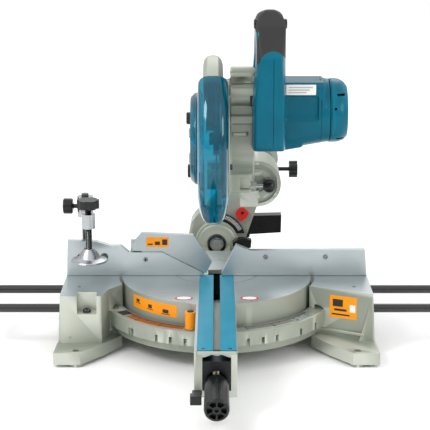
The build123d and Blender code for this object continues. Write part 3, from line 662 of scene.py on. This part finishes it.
class MITRESAW_OT_base(PieceOperator):
    """Builds the base with its scale, its label, a screw and the ledges of its side blocks"""

    bl_idname = "mitre_saw.base"
    bl_label = "Base"

    def execute(self, context):
        base = round_edges(copy_of_node("base_casting", "base_body"), self.saw.edge_radius, 3)
        keep(base, "base", "cast_grey", replaces=["base_casting"])
        mill_top(base)
        self.add_block_label(base)
        above_ring = Vector((0.102, -0.102, 0.5))
        self.add_scale(base.ray_cast(above_ring, Vector((0, 0, -1)))[1].z)
        self.add_screws()
        self.add_post_edges(base)
        low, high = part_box("mitre_pointer")
        centre = ((low.x + high.x) / 2, (low.y + high.y) / 2, 0)
        profile = pairs_from(high.z, (-2, 0), (-2, 4.2), (0.8, 4.2), (1.2, 3.6), (1.2, 0))
        cap = turned("pointer_cap", profile, "Z", centre, 28)
        keep(smooth(cap), "turntable", "black_plastic")
        return {"FINISHED"}

    def add_scale(self, ring_top):
        """Curved mitre scale riveted on the ring, with a line for every degree."""
        plate = arc_plate("mitre_scale", 0.1355, 0.1525, -59, 59, ring_top - 0.2 * MM, ring_top + 0.4 * MM)
        keep(plate, "base", "scale_plate", "grey_plate")
        for name, start, end, inner, outer, material in (
            ("mitre_band_left", -53, -17, 138.5, 151, "amber_ink"),
            ("mitre_end_plate", -62, -55, 137, 151.5, "mark_black"),
            ("mitre_band_right", 15, 43, 138.5, 150, "grey_ink"),
        ):
            low, high = ring_top + 0.2 * MM, ring_top + 0.45 * MM
            band = arc_plate(name, inner * MM, outer * MM, start, end, low, high)
            keep(band, "base", material, "black_plastic")
        marks = []
        for degree in range(-58, 59):
            reach = 9 if degree % 15 == 0 else 6.5 if degree % 5 == 0 else 4
            mark = block("mark", (-0.45 * MM, -0.137 - reach * MM, ring_top + 0.3 * MM),
                         (0.45 * MM, -0.137, ring_top + 0.6 * MM))
            mark.data.transform(Matrix.Rotation(math.radians(degree), 4, "Z"))
            marks.append(mark)
        marks = join("mitre_marks", marks)
        keep(marks, "base", "mark_black", "black_plastic")
        for degree in (-45, -30, -15, 15, 30, 45):
            number = self.number(str(abs(degree)), degree, ring_top + 0.45 * MM)
            keep(number, "base", "mark_black", "black_plastic")

    def number(self, words, degree, height):
        deselect()
        bpy.ops.object.text_add()
        piece = bpy.context.object
        piece.data.body = words
        piece.data.size = 5 * MM
        piece.data.align_x = "CENTER"
        piece.data.extrude = 0.12 * MM
        activate(piece)
        bpy.ops.object.convert(target="MESH")
        piece.name = "mitre_number_" + words + ("_left" if degree < 0 else "_right")
        turn = Matrix.Rotation(math.radians(degree), 4, "Z")
        piece.data.transform(turn @ Matrix.Translation((0, -151.5 * MM, height)))
        return piece

    def add_post_edges(self, base):
        """Raised lines cast along the foot of each block's front."""
        for side, x0, x1 in (("left", -196, -142), ("right", 142, 196)):
            strip = label_on("block_ledge_" + side, base, *mm(x0, x1, 26, 30, 1.6))
            keep(round_edges(strip, 0.7 * MM, 3), "base", "cast_grey")

    def add_block_label(self, base):
        """Plain orange adhesive label on the right block's slanted front."""
        label = label_on("block_label", base, *mm(152, 187, 46, 77))
        keep(label, "base", "orange_plastic")
        marks = []
        for limits in ((156, 169, 62, 72), (158, 174, 56, 59), (155, 178, 50, 52)):
            marks.append(label_on("mark", base, *mm(*limits, 0.4)))
        keep(join("block_label_marks", marks), "base", "mark_black", "black_plastic")
        dot = label_on("block_label_dot", base, *mm(178, 185, 56, 66, 0.4))
        keep(dot, "base", "paper_white", "machined")

    def add_screws(self):
        """Socket screw in the left block's pocket."""
        pocket = Vector(mm(-172.5, -86, 60.5))
        screw = socket_screw("pocket_screw", "Z", pocket, 5.5 * MM, 4 * MM)
        keep(screw, "base", "black_steel")


class MITRESAW_OT_turntable(PieceOperator):
    """Builds the turntable with its milled top, labels, slot insert, arm lip and rod nut"""

    bl_idname = "mitre_saw.turntable"
    bl_label = "Turntable"

    def execute(self, context):
        table = copy_of_node("turntable_casting", "turntable_body")
        groove = ring_tool("groove", 58.2 * MM, 59.4 * MM, TABLE_TOP - 0.7 * MM, TABLE_TOP + 1 * MM)
        groove.data.transform(Matrix.Translation((0, 20 * MM, 0)))
        cut(table, groove)
        round_edges(table, self.saw.edge_radius, 3)
        keep(table, "turntable", "cast_grey", replaces=["turntable_casting"])
        mill_top(table, TABLE_REACH)
        self.add_wall_label()
        self.add_slot_insert()
        for side in (-1, 1):
            self.add_badge(side)
        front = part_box("turntable_casting")[0].y
        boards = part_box("kerf_board_left")
        top, low = boards[1].z - 0.3 * MM, boards[1].z - 8 * MM
        outline = [(-23 * MM, top), (23 * MM, top)]
        outline += [(x * MM, low + rise * MM) for x, rise in (
            (23, 0), (14, 1), (6, 4), (0, 2.6), (-6, 4), (-14, 1), (-23, 0),
        )]
        lip = extruded("arm_lip", outline, "Y", front + 0.2 * MM, min(boards[0].y - 0.1 * MM, front + 3 * MM))
        keep(round_edges(lip, 0.3 * MM), "turntable", "cast_grey")
        profile = pairs_mm((47, 0), (47, 5.6), (59, 5.6), (60.5, 4.5), (60.5, 0))
        stud = turned("lock_rod_nut", profile, "Z", mm(-0.8, -302, 0), 32)
        keep(smooth(stud), "turntable", "brass", "steel")
        return {"FINISHED"}

    def add_wall_label(self):
        """Plain orange adhesive label on the wall, with a few plain bars."""
        radius = 130 * MM
        label = arc_plate("table_label", radius + 0.05 * MM, radius + 0.3 * MM, -58.5, -23.5,
                          TABLE_TOP - 22 * MM, TABLE_TOP - 5 * MM)
        keep(label, "turntable", "orange_plastic")
        bars = []
        for start, end, low, high in (
            (-56, -51, 14, 15), (-55, -52, 9, 13), (-45, -40, 17, 18), (-44, -41, 11, 16),
            (-34, -28, 19, 20), (-33, -29, 13, 18),
        ):
            bars.append(arc_plate("bar", radius + 0.1 * MM, radius + 0.4 * MM, start, end,
                                  TABLE_TOP - high * MM, TABLE_TOP - low * MM))
        keep(join("table_label_bars", bars), "turntable", "mark_black", "black_plastic")

    def add_slot_insert(self):
        """Black chip plate at the rear of the blade slot."""
        insert = block("slot_insert", mm(-11.8, -68, 73), mm(11.8, 29.5, 79.5))
        round_edges(insert, 0.5 * MM)
        keep(insert, "turntable", "matt_black", "black_plastic")

    def add_badge(self, side):
        """Plain oval badge with a red rim beside the front arm."""
        x = 43 * MM * side
        for name, grow, top, material, slot in (
            ("badge_rim", 1.0, 0.25, "red_plastic", "red_plastic"),
            ("badge_face", 0.78, 0.4, "paper_white", "machined"),
        ):
            badge = cylinder(name, "Z", (0, 0, 0), 12 * MM * grow, (top + 0.1) * MM, 48)
            place = Matrix.Translation((x, -104 * MM, TABLE_TOP + top * MM / 2))
            badge.data.transform(place @ Matrix.Diagonal((1, 0.62, 1, 1)))
            badge.name = name + ("_left" if side < 0 else "_right")
            keep(smooth(badge), "turntable", material, slot)


class MITRESAW_OT_fences(PieceOperator):
    """Builds the fences with their bevelled edges, a label and screws"""

    bl_idname = "mitre_saw.fences"
    bl_label = "Fences"

    def execute(self, context):
        for node in ("fence_left", "fence_right"):
            finish_node(node, "machined", segments=3)
        finish_node("flip_fence", "grey_plate", segments=3)
        label = block("flip_label", mm(-97, 0.35, 126), mm(-66, 0.65, 140))
        keep(round_edges(label, 0.1 * MM), "flip", "orange_plastic")
        bars = [
            block("bar", mm(-95 + 10 * i, 0.28, 129), mm(-88 + 10 * i, 0.5, 131 + 3 * i)) for i in range(3)
        ]
        keep(join("flip_label_bars", bars), "flip", "mark_black", "black_plastic")
        for x, z, radius, name in (
            (-188, 112, 4.5, "a"), (-155, 112, 5.5, "b"), (-98, 108.5, 3.2, "c"), (67.5, 112, 3.4, "d"),
            (150, 112, 3.4, "e"),
        ):
            place = Vector(mm(x, -0.2, z))
            screw = socket_screw("fence_screw_" + name, "Y", place, radius * MM, -1.6 * MM)
            finish, slot = ("black_steel", "black_steel") if name in "ab" else ("dark_steel", "steel")
            keep(screw, "base", finish, slot)
        return {"FINISHED"}


class MITRESAW_OT_arm(PieceOperator):
    """Builds the tilting arm, its pointer and scale, and the hub's cup and rim"""

    bl_idname = "mitre_saw.arm"
    bl_label = "Tilting arm"

    def execute(self, context):
        arm = round_edges(copy_of_node("arm_casting", "arm_body"), 2.2 * MM, 3)
        keep(arm, "arm", "cast_grey", replaces=["arm_casting"])
        finish_node("bevel_pointer", "red_plastic", width=1.6 * MM, segments=3)
        low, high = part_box("bevel_pointer")
        place = ((low.x + high.x) / 2 + 0.5 * MM, low.y + 1.8 * MM, 127 * MM)
        screw = cylinder("pointer_screw", "Y", place, 2.5 * MM, 3 * MM)
        keep(round_edges(screw, 0.4 * MM), "arm", "black_steel")
        finish_node("bevel_scale", "black_plastic", "grey_plate", 0.3 * MM)
        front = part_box("bevel_scale")[0].y
        marks = []
        for degree in range(18, 66, 3):
            low, high = (-0.3 * MM, front - 0.3 * MM, 36 * MM), (0.3 * MM, front + 0.2 * MM, 42 * MM)
            mark = block("mark", low, high)
            turn = Matrix.Rotation(math.radians(degree), 4, "Y")
            mark.data.transform(Matrix.Translation((0, 0, TABLE_TOP)) @ turn)
            marks.append(mark)
        keep(join("bevel_marks", marks), "turntable", "paper_white", "machined")
        self.add_hub()
        return {"FINISHED"}

    def add_hub(self):
        """Black washer cup and the raised rim on the bracket's face."""
        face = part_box("bevel_shaft")[0].y + 9 * MM
        cup = pairs_from(face, (-3.4, 13.2), (-4.6, 12.4), (-4.6, 10.5),
                         (0.2, 10.5), (0.2, 13.9), (-2.4, 13.9))
        ring = turned("hub_cup", cup, "Y", (0, 0, TABLE_TOP), closed=True)
        keep(smooth(ring), "turntable", "black_plastic")
        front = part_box("bevel_shaft")[0].y + 12 * MM
        rim = pairs_from(front, (-1.4, 14.5), (-1.4, 24.5), (-0.6, 28.0), (1.2, 30.4), (3.6, 31.6),
                         (7, 31.9), (7, 30.0), (0.4, 14.5))
        rim = turned("bracket_rim", rim, "Y", (0, 0, TABLE_TOP), 72, closed=True)
        keep(smooth(rim), "turntable", "cast_grey")


class MITRESAW_OT_carriage(PieceOperator):
    """Builds the sliding carriage and its stop nut"""

    bl_idname = "mitre_saw.carriage"
    bl_label = "Carriage"

    def execute(self, context):
        carriage = round_edges(copy_of_node("carriage_casting", "carriage_body"), 1.8 * MM, 3)
        keep(carriage, "carriage", "cast_grey", replaces=["carriage_casting"])
        profile = pairs_mm((36.7, 0), (36.7, 6.2), (43, 6.2), (44, 5.6), (44, 0))
        pin = middle("stopper_pin")
        nut = turned("stop_nut", profile, "X", (0, pin.y, pin.z), steps=6)
        nut.data.transform(Matrix.Translation((10.6 * MM, 0, 0)))
        keep(nut, "carriage", "steel")
        return {"FINISHED"}


class MITRESAW_OT_gear_housing(PieceOperator):
    """Builds the gear housing with its barrels, ribs and the blade case"""

    bl_idname = "mitre_saw.gear_housing"
    bl_label = "Gear housing"

    def execute(self, context):
        housing = copy_of_node("gear_housing", "gear_body")
        barrels = [housing]
        for y, z, radius, x0, x1 in (
            (-96, 352, 12, 17, 48), (-92, 383, 4.5, 17, 50), (-104, 322, 6.5, 17, 48), (-90, 276, 19, 17, 48),
            (-62, 252, 17, 17, 46),
        ):
            place = ((x0 + x1) / 2 * MM, y * MM, z * MM)
            barrels.append(cylinder("barrel", "X", place, radius * MM, (x1 - x0) * MM, 40))
        for y0, y1, z0, z1, x0, x1 in (
            (-108, -80, 300, 314, 17, 46), (-112, -100, 303, 307, 20, 38), (-98, -60, 366, 380, 18, 46),
            (-84, -60, 222, 262, 18, 44),
        ):
            barrels.append(block("rib", mm(x0, y0, z0), mm(x1, y1, z1)))
        body = soften(join("gear_body", barrels), 1.25 * MM, 3)
        recess = block("recess", mm(17, -130, 365.5), mm(60, -82, 377))
        lower = block("lower", mm(30, -130, 226), mm(60, -72, 243))
        cut(body, round_edges(recess, 1.2 * MM), round_edges(lower, 1.5 * MM))
        smooth(body)
        keep(body, "head", "cast_grey", replaces=["gear_housing"])
        clip = block("side_clip", mm(42, -109, 340), mm(51, -96, 354))
        keep(round_edges(clip, 1 * MM), "head", "black_plastic")
        outer = pairs_mm((-17.5, 66), (-17.5, 96), (-16, 102.5), (-12, 107), (-5, 108.5), (2, 107),
                         (6, 102.5), (8, 96), (8, 66))
        inner = pairs_mm((6, 66), (6, 95), (4, 101), (0.5, 104.5), (-5, 105.5), (-10.5, 104.5),
                         (-14, 101), (-15.6, 95), (-15.6, 66))
        case = swept("case_body", outer + inner, (0, BLADE.y, BLADE.z), -5, 128, 64)
        keep(smooth(case), "head", "cast_grey", replaces=["blade_case"])
        self.add_liner()
        return {"FINISHED"}

    def add_liner(self):
        """Black liner inside the blade case, a sheet of painted shade for the case's hollow."""
        outer = pairs_mm((-15, 70), (-15, 97), (-5, 104.5), (5, 97), (5, 70))
        inner = pairs_mm((4.3, 70), (4.3, 96.6), (-5, 103.5), (-14.3, 96.6), (-14.3, 70))
        # a black sheet that paints the shade inside the case
        liner = swept("painted_shade_liner", outer + inner, (0, BLADE.y, BLADE.z), 0, 126, 48)
        keep(smooth(liner), "head", "black_plastic")


class MITRESAW_OT_guard(PieceOperator):
    """Builds the clear lower guard, its round cover and the fittings on its left"""

    bl_idname = "mitre_saw.guard"
    bl_label = "Lower guard"

    def execute(self, context):
        centre = (0, BLADE.y, BLADE.z)
        outer = pairs_mm((-24, 30), (-24, 95), (-22.8, 102), (-20, 107.5), (-15.5, 111), (-10, 112.2),
                         (0, 112.2), (6.5, 111), (11, 107.5), (13.8, 102), (15, 95), (15, 78.6))
        inner = pairs_mm((12.9, 78.6), (12.9, 94.5), (11.8, 101), (9.4, 105.8), (5.6, 108.8), (0, 110),
                         (-10, 110), (-14.6, 108.8), (-18.4, 105.8), (-20.7, 101), (-21.9, 94.5), (-21.9, 30))
        guard = swept("guard_shell", outer + inner, centre, 125, 286, 72)
        self.narrow(guard)
        keep(smooth(guard), "guard", "clear_blue", replaces=["lower_guard"])
        profile = pairs_mm((-24.2, 0), (-24.2, 60), (-28, 60), (-34, 54), (-34, 0))
        cover = turned("cover_shell", profile, "X", centre, 96)
        round_edges(cover, 1.5 * MM, 3)
        keep(cover, "guard", "clear_blue", replaces=["centre_cover"])
        self.add_fittings()
        return {"FINISHED"}

    def narrow(self, guard):
        """The guard's rim draws in towards its lower end."""
        start, end = 0.235, 0.178   # the heights between which it draws in
        most = 0.19                 # the share of its width that it loses
        middle_x = -3.5 * MM
        for vertex in guard.data.vertices:
            share = eased(clamped((start - vertex.co.z) / (start - end)))
            radius = math.hypot(vertex.co.y - BLADE.y, vertex.co.z - BLADE.z)
            outer = clamped((radius - 0.07) / 0.03)
            vertex.co.x = middle_x + (vertex.co.x - middle_x) * (1 - most * share * outer)

    def add_fittings(self):
        """Screws and stubs on the cover's face."""
        for name, y, z, radius, thick, material in (
            ("cover_knob", -62, 317, 8, 5.5, "black_plastic"),
            ("cover_stub_upper", -66, 298, 6.5, 2.4, "steel"),
            ("cover_stub_lower", -66, 265, 7.5, 2.2, "steel"),
            ("cover_clip", -62, 247, 9, 4, "black_plastic"),
        ):
            x = -34 * MM
            profile = [(x + 0.5 * MM, 0.0), (x + 0.5 * MM, radius * MM), (x - (thick - 1) * MM, radius * MM),
                       (x - thick * MM, (radius - 1) * MM), (x - thick * MM, radius * MM * 0.45),
                       (x - (thick - 1) * MM, radius * MM * 0.4), (x - (thick - 1) * MM, 0.0)]
            piece = turned(name, profile, "X", (0, y * MM, z * MM), 40)
            keep(smooth(piece), "guard", material)


class MITRESAW_OT_motor(PieceOperator):
    """Builds the motor housing with its recess and blank plate, and the vented end cap"""

    bl_idname = "mitre_saw.motor"
    bl_label = "Motor"

    def execute(self, context):
        shell = self.housing()
        keep(shell, "head", "blue_shell", replaces=["motor_housing"])
        cap = self.cap()
        keep(cap, "head", "blue_shell", replaces=["motor_end_cap"])
        plate = block("rating_plate", mm(88, -100.6, 353.5), mm(126, -98, 366.5))
        keep(round_edges(plate, 0.6 * MM), "head", "paper_white", "machined")
        bars = [
            block("bar", mm(91, -100.8, z), mm(122 - 4 * i, -100.2, z + 1.6))
            for i, z in enumerate((362.5, 359.2, 356))
        ]
        keep(join("rating_plate_bars", bars), "head", "scale_plate", "grey_plate")
        return {"FINISHED"}

    def housing(self):
        x0, x1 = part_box("motor_housing")[0].x + 0.4 * MM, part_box("motor_housing")[1].x
        y, z, radius = MOTOR.y, MOTOR.z, 44.6 * MM
        parts = [cylinder("barrel", "X", ((x0 + x1) / 2, y, z), radius, x1 - x0, 96)]
        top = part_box("motor_housing")[1].z
        brow = [(y - 44 * MM, z + 4 * MM), (y - 44.5 * MM, z + 40 * MM), (y - 36 * MM, top - 0.5 * MM),
                (y + 20 * MM, top - 0.5 * MM), (y + 34 * MM, z + 26 * MM)]
        parts.append(extruded("brow", brow, "X", x0, x1 - 8 * MM))
        foot = [(y + across * MM, z + up * MM) for across, up in (
            (-40, 6), (-43, -12), (-22, -43), (26, -47), (34, -20),
        )]
        parts.append(extruded("foot", foot, "X", x0, x0 + 62 * MM))
        body = soften(join("motor_body", parts), 1.25 * MM, 8)
        outline = [(y - deep * MM, height * MM) for deep, height in (
            (70, 317), (44.8, 318), (41, 324), (41.5, 349), (44.6, 353), (70, 353.5),
        )]
        scoop = round_edges(extruded("scoop", outline, "X", 88 * MM, 130 * MM), 2.5 * MM, 3)
        seam = ring_tool_x("seam", MOTOR, 43.9 * MM, 50 * MM, 133.4 * MM, 134.2 * MM)
        cut(body, scoop, seam)
        self.lift_underside(body)
        return smooth(body)

    def cap(self):
        low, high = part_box("motor_end_cap")
        radius = (high.z - low.z) / 2
        profile = [(low.x, 0.0), (low.x, radius),
                   (low.x + 6 * MM, radius), (low.x + 12 * MM, radius - 0.8 * MM),
                   (low.x + 18 * MM, radius - 4 * MM), (low.x + 22.5 * MM, radius - 9.5 * MM),
                   (high.x - 0.2 * MM, radius - 16 * MM), (high.x - 0.2 * MM, 0.0)]
        cap = turned("cap_body", profile, "X", (0, MOTOR.y, MOTOR.z), 96)
        tools = []
        for z in (-34, 27):
            tools.append(block("vent", (low.x + 8 * MM, MOTOR.y - 60 * MM, MOTOR.z + z * MM),
                               (low.x + 18 * MM, MOTOR.y - 8 * MM, MOTOR.z + (z + 3) * MM)))
        place = (low.x + 6 * MM, MOTOR.y - 42 * MM, MOTOR.z + 12 * MM)
        tools.append(cylinder("hole", "Y", place, 1.8 * MM, 16 * MM, 20))
        start, end = low.x + 0.6 * MM, low.x + 1.6 * MM
        tools.append(ring_tool_x("groove", MOTOR, radius - 1.1 * MM, radius + 6 * MM, start, end))
        cut(cap, *tools)
        self.lift_underside(cap)
        return round_edges(cap, 0.6 * MM)

    def lift_underside(self, piece):
        """The underside rises towards the end cap."""
        for vertex in piece.data.vertices:
            depth = clamped((MOTOR.z - vertex.co.z) / (44 * MM))
            along = clamped((vertex.co.x - 90 * MM) / (52 * MM))
            vertex.co.z += depth * depth * (9.5 * along - 2.5) * MM


class MITRESAW_OT_handle(PieceOperator):
    """Builds the moulded handle, its rubber grip and its button"""

    bl_idname = "mitre_saw.handle"
    bl_label = "Handle"

    def execute(self, context):
        left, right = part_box("handle_left")[0].x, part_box("handle_right")[1].x
        nodes = ("handle_left", "handle_right", "grip_sleeve")
        whole = join("handle", [copy_of_node(node, node) for node in nodes])
        soften(whole, 1.3 * MM, 24)
        self.shape(whole)
        shell, sleeve = whole, whole.copy()
        sleeve.data = whole.data.copy()
        bpy.context.scene.collection.objects.link(sleeve)
        sleeve.name = "grip_rubber"
        shell.name = "handle_shell"
        cut(shell, self.zone("zone_a", left, right))
        zone = self.zone("zone_b", left, right)
        apply_modifier(sleeve, "BOOLEAN", operation="INTERSECT", object=zone, solver="EXACT")
        bpy.data.objects.remove(zone)
        centre = (left + right) / 2
        seam = block("seam", (centre + 3 * MM, -0.15, 0.25), (centre + 3.7 * MM, -0.1425, 0.41))
        cut(shell, seam)
        keep(smooth(shell), "head", "blue_shell", replaces=["handle_left", "handle_right"])
        keep(smooth(sleeve), "head", "rubber", replaces=["grip_sleeve"])
        button = middle("lock_off_button")
        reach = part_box("lock_off_button")[1].x - button.x
        x0, x1 = button.x - reach, button.x + reach
        profile = [(x0, 0.0), (x0, 0.0052), (x0 + 1.2 * MM, 0.0064),
                   (x1 - 1.2 * MM, 0.0064), (x1, 0.0052), (x1, 0.0)]
        knob = turned("lock_off_cap", profile, "X", (0, button.y, button.z), 32)
        keep(smooth(knob), "lock_off", "black_plastic", replaces=["lock_off_button"])
        return {"FINISHED"}

    def shape(self, handle):
        """Rounds the top across its width and lets the lower pod swell towards the motor and the gears."""
        low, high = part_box("handle_left")[0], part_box("handle_right")[1]
        centre, half = (low.x + high.x) / 2, (high.x - low.x) / 2
        top = max(vertex.co.z for vertex in handle.data.vertices)
        for vertex in handle.data.vertices:
            rise = clamped((vertex.co.z - top + half) / half)
            swell = eased(clamped((402 * MM - vertex.co.z) / (60 * MM)))
            front = clamped((-vertex.co.y - 118 * MM) / (26 * MM))
            crown = math.sqrt(1 - 0.96 * rise * rise)
            nose = 1 - 0.3 * front * front * (1 - swell * 0.4)
            width = crown * (1 + 0.13 * swell) * nose
            vertex.co.x = centre + (vertex.co.x - centre) * width - 1.5 * MM * swell

    def zone(self, name, left, right):
        """The volume that the rubber fills: above a level, with an arch cut in its front."""
        level = 398 * MM
        zone = block(name, (left - 5 * MM, -0.16, level), (right + 5 * MM, 0.0, 0.48))
        place = ((left + right) / 2 + 2.5 * MM, -0.142, level - 1 * MM)
        arch = cylinder("arch", "Y", place, 17 * MM, 42 * MM, 48)
        strip = block("strip", (left - 6 * MM, -0.13, level - 1 * MM), (left + 4 * MM, -0.02, 436 * MM))
        return cut(zone, arch, strip)


class MITRESAW_OT_grip(PieceOperator):
    """Builds the ribbed mitre lock grip"""

    bl_idname = "mitre_saw.grip"
    bl_label = "Mitre lock grip"

    TILT = math.radians(7)
    FLUTES = 14
    POCKETS = 6

    def execute(self, context):
        low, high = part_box("mitre_grip")
        reach = (high.y - low.y) / math.cos(self.TILT)
        profile = pairs_mm((0, 0), (0, 7.8), (10, 8.2), (15, 12.2), (20, 13.8), (30, 14.2))
        profile += [(reach - back * MM, radius * MM) for back, radius in (
            (6, 14.8), (3.2, 14.4), (2, 13.0), (2, 0),
        )]
        grip = turned("grip_body", profile, "Y", (0, 0, 0), 96)
        tools = []
        for i in range(self.FLUTES):
            angle = math.tau * i / self.FLUTES
            place = (0.0158 * math.sin(angle), reach / 2 + 8 * MM, 0.0158 * math.cos(angle))
            tools.append(cylinder("flute", "Y", place, 1.7 * MM, reach - 26 * MM, 12))
        for i in range(self.POCKETS):
            angles = [math.tau * (i + share) / self.POCKETS for share in (0.12, 0.5, 0.88)]
            outline = [(0.0116 * math.sin(a), 0.0116 * math.cos(a)) for a in angles]
            outline += [(0.0052 * math.sin(a), 0.0052 * math.cos(a)) for a in reversed(angles)]
            tools.append(extruded("pocket", outline, "Y", reach - 8 * MM, reach + 5 * MM))
        tools.append(cylinder("bore", "Y", (0, reach, 0), 2.4 * MM, 10 * MM, 24))
        cut(grip, join("grip_tools", tools))
        turn = Matrix.Rotation(self.TILT, 4, "X") @ Matrix.Rotation(math.pi, 4, "Z")
        grip.data.transform(Matrix.Translation((0, high.y, GRIP_HEIGHT)) @ turn)
        smooth(grip)
        keep(grip, "mitre_lock", "black_plastic", replaces=["mitre_grip"])
        return {"FINISHED"}


class MITRESAW_OT_vise(PieceOperator):
    """Builds the vise's arm, threaded spindle and pad"""

    bl_idname = "mitre_saw.vise"
    bl_label = "Vise"

    def execute(self, context):
        finish_node("vise_arm", "steel", "cast_grey", 1.2 * MM, 3)
        low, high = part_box("vise_spindle")
        x, y = (low.x + high.x) / 2, (low.y + high.y) / 2
        foot = low.z
        profile = pairs_from(foot, (0, 0), (0, 23.8), (1.2, 24.6), (2.4, 23.8), (4, 16.5), (6.5, 13.7),
                             (11, 12.5), (15.5, 8.5), (17.5, 7.2), (17.5, 0))
        pad = turned("vise_pad", profile, "Z", (x, y, 0), 64)
        keep(smooth(pad), "vise_screw", "chrome")
        pitch, radius, start, end = 2.0, 4.6, 15.0, 72
        thread = [(foot + start * MM, 0.0)]
        height = start
        while height < end:
            thread += [(foot + height * MM, (radius - 0.6) * MM), (foot + (height + 0.9) * MM, radius * MM)]
            height += pitch
        thread.append((foot + height * MM, 0.0))
        spindle = turned("vise_thread", thread, "Z", (x, y, 0), 24)
        keep(smooth(spindle), "vise_screw", "black_steel", replaces=["vise_spindle"])
        return {"FINISHED"}


OPERATORS = (
    MITRESAW_OT_stage, MITRESAW_OT_small_pieces, MITRESAW_OT_base, MITRESAW_OT_turntable, MITRESAW_OT_fences,
    MITRESAW_OT_arm, MITRESAW_OT_carriage, MITRESAW_OT_gear_housing, MITRESAW_OT_guard, MITRESAW_OT_motor,
    MITRESAW_OT_handle, MITRESAW_OT_grip, MITRESAW_OT_vise,
)


class MITRESAW_PT_panel(bpy.types.Panel):
    """Lists the saw's operators"""

    bl_label = "Mitre saw"
    bl_idname = "MITRESAW_PT_panel"
    bl_space_type = "VIEW_3D"
    bl_region_type = "UI"
    bl_category = "Mitre saw"

    def draw(self, context):
        for key in MitreSawSettings.__annotations__:
            self.layout.prop(context.scene.mitre_saw, key)
        for operator in OPERATORS:
            self.layout.operator(operator.bl_idname)


def register():
    """Registers the settings, the operators and the panel."""
    bpy.utils.register_class(MitreSawSettings)
    bpy.types.Scene.mitre_saw = bpy.props.PointerProperty(type=MitreSawSettings)
    for operator in OPERATORS:
        bpy.utils.register_class(operator)
    bpy.utils.register_class(MITRESAW_PT_panel)


def unregister():
    """Takes them away again."""
    bpy.utils.unregister_class(MITRESAW_PT_panel)
    for operator in reversed(OPERATORS):
        bpy.utils.unregister_class(operator)
    del bpy.types.Scene.mitre_saw
    bpy.utils.unregister_class(MitreSawSettings)


def main():
    """Builds every piece."""
    register()
    make_materials()
    for operator in OPERATORS:
        group, name = operator.bl_idname.split(".")
        getattr(getattr(bpy.ops, group), name)()


if __name__ == "__main__":
    main()
